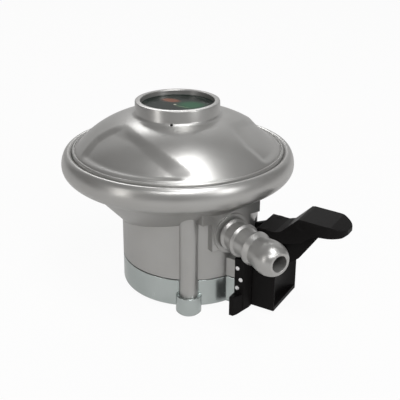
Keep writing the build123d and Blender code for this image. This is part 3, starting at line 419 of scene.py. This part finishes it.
# %% [markdown]
# A glossy disc closes the collar. It is a cylinder with a broken edge and a fine step near its rim, made by
# two insets of the top face.
# %% Badge disc
EDGE_BREAK, RIM_WIDTH, STEP_WIDTH, STEP_DEPTH = 0.2 * MM, 0.9 * MM, 0.15 * MM, 0.12 * MM
cap_low, cap_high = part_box("collar_cap")
cap_r = (cap_high.x - cap_low.x) / 2
badge_mesh = bmesh.new()
bmesh.ops.create_cone(badge_mesh, cap_ends=True, segments=96, radius1=cap_r, radius2=cap_r,
                      depth=cap_high.z - cap_low.z)
bmesh.ops.translate(badge_mesh, verts=badge_mesh.verts[:], vec=(dish_x, 0, (cap_low.z + cap_high.z) / 2))
rims = [e for e in badge_mesh.edges if abs(e.verts[0].co.z - e.verts[1].co.z) < 1e-7]
bmesh.ops.bevel(badge_mesh, geom=rims, offset=EDGE_BREAK, offset_type="OFFSET", segments=3, profile=0.5,
                affect="EDGES", material=-1)
top = max(badge_mesh.faces, key=lambda f: f.calc_center_median().z)
bmesh.ops.inset_region(badge_mesh, faces=[top], thickness=RIM_WIDTH, depth=0)
bmesh.ops.inset_region(badge_mesh, faces=[top], thickness=STEP_WIDTH, depth=-STEP_DEPTH)
badge = new_piece("badge_disc", badge_mesh)
print("badge radius", round(cap_r, 4))

# %% [markdown]
# The disc has soft tints on a dark ground and no text: a warm one on one side and a green one on the other,
# with a pale dot near the middle and a thin pale line. Each tint is an ellipse with a soft edge, placed by
# Object coordinates.
# %% Finish of the badge disc
def spot(tree, place, centre, stretch, radius, soft):
    """A mask that is 1 inside an ellipse on the disc and fades to 0 over its soft edge."""
    centred = tree.nodes.new("ShaderNodeMapping")
    centred.vector_type = "POINT"
    centred.inputs["Location"].default_value = [-c * s for c, s in zip(centre, stretch)]
    centred.inputs["Scale"].default_value = stretch
    join(tree, place, centred.inputs["Vector"])
    away = tree.nodes.new("ShaderNodeVectorMath")
    away.operation = "LENGTH"
    join(tree, centred.outputs["Vector"], away.inputs[0])
    fade = tree.nodes.new("ShaderNodeMapRange")
    fade.interpolation_type = "SMOOTHSTEP"
    fade.inputs["From Min"].default_value = radius + soft
    fade.inputs["From Max"].default_value = radius
    join(tree, away.outputs["Value"], fade.inputs["Value"])
    return fade.outputs["Result"]


badge_print = finish("glossy badge", (0.012, 0.020, 0.016), (0.006, 0.010, 0.008), 0.0, (0.14, 0.24),
                     0.003, 1500, 200, 0.5, scuff=0.25, scuff_colour=(0.03, 0.04, 0.03), edge=0.05, ior=1.2)
tree = badge_print.node_tree
shader = tree.nodes["Principled BSDF"]
place = tree.nodes.new("ShaderNodeTexCoord").outputs["Object"]
colour = shader.inputs["Base Color"].links[0].from_socket
disc_z = cap_high.z
for centre, stretch, radius, soft, tint in (
    ((dish_x - 4.5 * MM, 3.0 * MM, disc_z), (1, 1.6, 1), 1.8 * MM, 2.6 * MM, (0.16, 0.055, 0.028)),
    ((dish_x + 4.5 * MM, 1.5 * MM, disc_z), (1, 1.1, 1), 2.2 * MM, 4.2 * MM, (0.006, 0.075, 0.030)),
    ((dish_x - 0.6 * MM, -0.6 * MM, disc_z), (1, 1, 1), 0.35 * MM, 0.3 * MM, (0.42, 0.42, 0.34)),
    ((dish_x + 2.6 * MM, -1.6 * MM, disc_z), (0.25, 4.0, 1), 0.45 * MM, 0.5 * MM, (0.16, 0.20, 0.12)),
):
    mix = tree.nodes.new("ShaderNodeMix")
    mix.data_type = "RGBA"
    mix.inputs["B"].default_value = (*tint, 1)
    join(tree, spot(tree, place, centre, stretch, radius, soft), mix.inputs["Factor"])
    join(tree, colour, mix.inputs["A"])
    colour = mix.outputs["Result"]
join(tree, colour, shader.inputs["Base Color"])
badge.data.materials.append(badge_print)
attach(badge, "regulator_body")
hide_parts("collar_cap")
print("badge finish", badge_print.name)

# %% [markdown]
# The regulator stands on a pale floor that curves up into a backdrop, like a roll of paper in a studio. One
# edge is extruded back, up a short curve in small steps, and then straight up.
# %% Floor and backdrop
FLOOR_HALF, FLOOR_LENGTH, BACKDROP_HEIGHT, CURVE_STEP = 1.6, 2.6, 1.6, 0.09
floor_z = cad_box[0][2]
sheet = bmesh.new()
left_end = sheet.verts.new((-FLOOR_HALF, -FLOOR_HALF, floor_z))
right_end = sheet.verts.new((FLOOR_HALF, -FLOOR_HALF, floor_z))
line = [sheet.edges.new((left_end, right_end))]
curve = [(0, CURVE_STEP * cos(a), CURVE_STEP * sin(a)) for a in (0.1, 0.4, 0.7, 1.0, 1.3, 1.5)]
for shift in [(0, FLOOR_LENGTH, 0), *curve, (0, 0, BACKDROP_HEIGHT)]:
    grown = bmesh.ops.extrude_edge_only(sheet, edges=line)["geom"]
    bmesh.ops.translate(sheet, verts=[g for g in grown if isinstance(g, bmesh.types.BMVert)], vec=shift)
    line = [g for g in grown if isinstance(g, bmesh.types.BMEdge)]
turned = Matrix.Rotation(CAMERA_TURN, 3, "Z")
bmesh.ops.rotate(sheet, verts=sheet.verts[:], cent=(0, 0, 0), matrix=turned)
bmesh.ops.recalc_face_normals(sheet, faces=sheet.faces[:])
floor = new_piece("studio_paper", sheet)
floor.data.shade_smooth()
print("floor at", round(floor_z, 4))

# %% [markdown]
# The paper glows white for the camera, and less than half as much in reflections, so that the underside of
# the dish stays dark. To all other light it is plain matt paper, and a small share of that is mixed in for
# the camera too, which keeps a faint shadow.
# %% Paper
CAMERA_GLOW, REFLECTED_GLOW = 0.95, 0.45


def mix_shaders(tree, share, first, second, output):
    blend = tree.nodes.new("ShaderNodeMixShader")
    join(tree, share, blend.inputs["Fac"])
    join(tree, first, blend.inputs[1])
    join(tree, second, blend.inputs[2])
    join(tree, blend.outputs["Shader"], tree.nodes[output].inputs["Surface"])


paper = bpy.data.materials.new("studio paper")
paper.use_nodes = True
tree = paper.node_tree
matt = tree.nodes["Principled BSDF"]
matt.inputs["Base Color"].default_value = (0.55, 0.54, 0.53, 1)
matt.inputs["Roughness"].default_value = 0.9
matt.inputs["Specular IOR Level"].default_value = 0.1
glow = tree.nodes.new("ShaderNodeEmission")
glow.inputs["Color"].default_value = (1, 1, 1, 1)
glow.inputs["Strength"].default_value = 1.0
rays = tree.nodes.new("ShaderNodeLightPath")
reflected = maths(tree, "MAXIMUM", rays.outputs["Is Glossy Ray"], rays.outputs["Is Transmission Ray"])
weaker = maths(tree, "MULTIPLY", reflected, REFLECTED_GLOW)
seen = maths(tree, "MAXIMUM", rays.outputs["Is Camera Ray"], weaker)
share = maths(tree, "MULTIPLY", seen, CAMERA_GLOW)
mix_shaders(tree, share, matt.outputs["BSDF"], glow.outputs["Emission"], "Material Output")
floor.data.materials.append(paper)
print("paper on", floor.name)

# %% [markdown]
# Light on metal is mostly what the metal reflects, so each lamp is a rectangle that shows in it. The top
# lamp gives the broad highlight on the dome, the wide front strip lies along the rim, and the key lamp
# lights the right side. The tall left strip draws a bright line down the round skirt, and the back lamp
# lights the far side. A direction is written as so much to the right, forward and up, as the camera sees it.
# %% Lamps
LAMP_AIM = Vector((0, 0, 0.03))


def soft_lamp(name, towards, distance, size, power, warmth=(1, 1, 1)):
    lamp = bpy.data.lights.new(name, "AREA")
    lamp.shape, lamp.size, lamp.size_y = "RECTANGLE", size[0], size[1]
    lamp.energy, lamp.color = power, warmth
    holder = bpy.data.objects.new(name, lamp)
    bpy.context.scene.collection.objects.link(holder)
    direction = Vector(towards).normalized()
    holder.matrix_world = (
        Matrix.Translation(LAMP_AIM + direction * distance)
        @ (-direction).to_track_quat("-Z", "Y").to_matrix().to_4x4()
    )


right = Vector((cos(CAMERA_TURN), sin(CAMERA_TURN), 0))
forward = Vector((-sin(CAMERA_TURN), cos(CAMERA_TURN), 0))
up = Vector((0, 0, 1))
soft_lamp("top lamp", right * 0.20 - forward * 0.34 + up * 1.0, 0.75, (0.28, 0.50), 3.6)
soft_lamp("front strip", right * 0.05 - forward * 0.80 + up * 0.70, 0.85, (0.60, 0.14), 2.2)
soft_lamp("key lamp", right * 0.85 - forward * 0.80 + up * 0.55, 0.90, (0.22, 0.40), 1.8)
soft_lamp("left strip", -right * 1.0 - forward * 0.75 + up * 0.22, 0.75, (0.10, 0.55), 0.9,
          (1.0, 0.98, 0.96))
soft_lamp("back lamp", forward * 0.9 + up * 0.8 - right * 0.1, 0.9, (0.4, 0.2), 1.6)

# %% [markdown]
# A room also gives a little light from every side. The world is a dim warm grey to the object, which leaves
# its sides darker between the lamps, and white only to the camera.
# %% World
world = bpy.data.worlds.new("studio")
bpy.context.scene.world = world
world.use_nodes = True
tree = world.node_tree
surround = tree.nodes["Background"]
surround.inputs["Color"].default_value = (0.62, 0.60, 0.585, 1)
surround.inputs["Strength"].default_value = 0.20
white = tree.nodes.new("ShaderNodeBackground")
white.inputs["Color"].default_value = (1, 1, 1, 1)
rays = tree.nodes.new("ShaderNodeLightPath")
mix_shaders(tree, rays.outputs["Is Camera Ray"], surround.outputs["Background"],
            white.outputs["Background"], "World Output")
bpy.context.scene.view_settings.view_transform = "Standard"
print("world", world.name)
